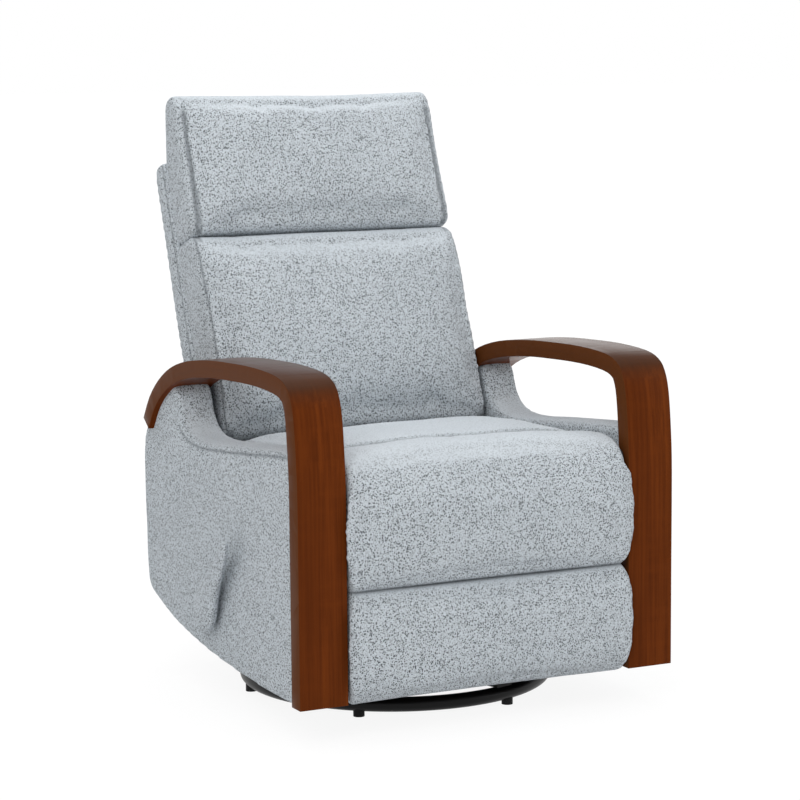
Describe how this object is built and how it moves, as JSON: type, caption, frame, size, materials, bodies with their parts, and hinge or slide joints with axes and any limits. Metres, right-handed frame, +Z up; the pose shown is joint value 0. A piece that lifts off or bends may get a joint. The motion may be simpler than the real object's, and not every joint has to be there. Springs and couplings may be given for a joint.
{
  "type": "swivel glider recliner",
  "caption": "Upholstered swivel glider recliner with bentwood arms, a folding legrest, a side lever and a round floor ring.",
  "frame": {"origin": "on the floor, on the swivel axis", "axes": "+Z up, -Y the way the chair faces, +X to the viewer's right seen from the front"},
  "size_m": [0.7588, 0.861, 1.0434],
  "materials": {
    "fabric": "pale grey-blue chenille with short dark flecks",
    "walnut": "glossy reddish walnut",
    "base_black": "satin black",
    "mech_steel": "dark satin enamel",
    "zinc": "zinc plated",
    "bright_steel": "polished",
    "beech": "planed, unfinished",
    "webbing": "woven jute",
    "brass": "plain",
    "glide_nylon": "matt",
    "lever_fabric": "the seat fabric over a moulded grip"
  },
  "bodies": {
    "base": {"base_ring": "base_black", "base_cross": "base_black", "base_glides": "glide_nylon", "bearing_cup": "base_black", "bearing_balls": "bright_steel", "swivel_spindle": "zinc"},
    "swivel": {"turntable_plate": "mech_steel", "glide_frame": "mech_steel", "left_stand": "mech_steel", "right_stand": "mech_steel", "upper_pins": "zinc"},
    "front_links": {"front_glide_links": "mech_steel"},
    "rear_links": {"rear_glide_links": "mech_steel"},
    "chassis": {"left_glide_rail": "mech_steel", "right_glide_rail": "mech_steel", "lower_pins": "zinc", "front_cross_bar": "mech_steel", "rear_cross_bar": "mech_steel", "left_mechanism_plate": "mech_steel", "right_mechanism_plate": "mech_steel", "left_side_panel": "fabric", "right_side_panel": "fabric", "left_arm": "walnut", "right_arm": "walnut", "arm_bolts": "brass", "rear_valance": "fabric", "seat_guides": "zinc", "lever_bushing": "base_black"},
    "carriage": {"left_seat_rail": "mech_steel", "right_seat_rail": "mech_steel", "seat_front_bar": "mech_steel", "seat_rear_bar": "mech_steel", "seat_webbing": "webbing", "seat_cushion": "fabric", "front_brackets": "mech_steel", "back_pivots": "mech_steel"},
    "back": {"back_brackets": "mech_steel", "back_posts": "beech", "back_rails": "beech", "rear_shell": "fabric", "back_cushion": "fabric", "head_pillow": "fabric"},
    "legrest_main": {"torque_tube": "mech_steel", "main_links": "mech_steel", "knee_pins": "zinc"},
    "legrest_fold": {"fold_links": "mech_steel", "pad_pins": "zinc"},
    "lower_rest": {"lower_brackets": "mech_steel", "lower_board": "beech", "lower_pad": "fabric"},
    "upper_rest": {"upper_brackets": "mech_steel", "upper_board": "beech", "upper_pad": "fabric"},
    "lever": {"lever_handle": "lever_fabric", "lever_shaft": "zinc", "lever_screw": "zinc"}
  },
  "joints": [
    {"name": "swivel", "type": "hinge", "parent": "base", "child": "swivel", "pos_m": [0, 0, 0.056], "axis": [0, 0, 1], "continuous": true},
    {"name": "glide", "type": "hinge", "parent": "swivel", "child": "front_links", "pos_m": [0, -0.08, 0.27], "axis": [1, 0, 0], "range_deg": [-14, 14]},
    {"name": "rear_link_swing", "type": "hinge", "parent": "swivel", "child": "rear_links", "pos_m": [0, 0.08, 0.27], "axis": [1, 0, 0], "range_deg": [-14, 14]},
    {"name": "chassis_level", "type": "hinge", "parent": "front_links", "child": "chassis", "pos_m": [0, -0.08, 0.13], "axis": [1, 0, 0], "range_deg": [-14, 14]},
    {"name": "seat_slide", "type": "slide", "parent": "chassis", "child": "carriage", "axis": [0, -1, 0], "range_m": [0, 0.04]},
    {"name": "back_recline", "type": "hinge", "parent": "carriage", "child": "back", "pos_m": [0, 0.19, 0.43], "axis": [-1, 0, 0], "range_deg": [0, 35]},
    {"name": "legrest", "type": "hinge", "parent": "carriage", "child": "legrest_main", "pos_m": [0, -0.302, 0.265], "axis": [-1, 0, 0], "range_deg": [0, 105.89]},
    {"name": "legrest_fold", "type": "hinge", "parent": "legrest_main", "child": "legrest_fold", "pos_m": [0, -0.302, 0.117], "axis": [1, 0, 0], "range_deg": [0, 160]},
    {"name": "lower_pad_turn", "type": "hinge", "parent": "legrest_fold", "child": "lower_rest", "pos_m": [0, -0.302, 0.244], "axis": [-1, 0, 0], "range_deg": [0, 139]},
    {"name": "upper_pad_turn", "type": "hinge", "parent": "carriage", "child": "upper_rest", "pos_m": [0, -0.342, 0.44], "axis": [-1, 0, 0], "range_deg": [0, 86]},
    {"name": "lever_turn", "type": "hinge", "parent": "chassis", "child": "lever", "pos_m": [-0.358, 0.016, 0.162], "axis": [-1, 0, 0], "range_deg": [0, 56]}
  ],
  "couplings": [
    {"joint": "rear_link_swing", "follows": "glide", "ratio": 1},
    {"joint": "chassis_level", "follows": "glide", "ratio": -1},
    {"joint": "back_recline", "follows": "seat_slide", "rad_per_m": 15.27},
    {"joint": "legrest_fold", "follows": "legrest", "ratio": 1.5002},
    {"joint": "lower_pad_turn", "follows": "legrest", "ratio": 1.3029},
    {"joint": "upper_pad_turn", "follows": "legrest", "ratio": 0.8027},
    {"joint": "lever_turn", "follows": "legrest", "ratio": 0.5194}
  ]
}
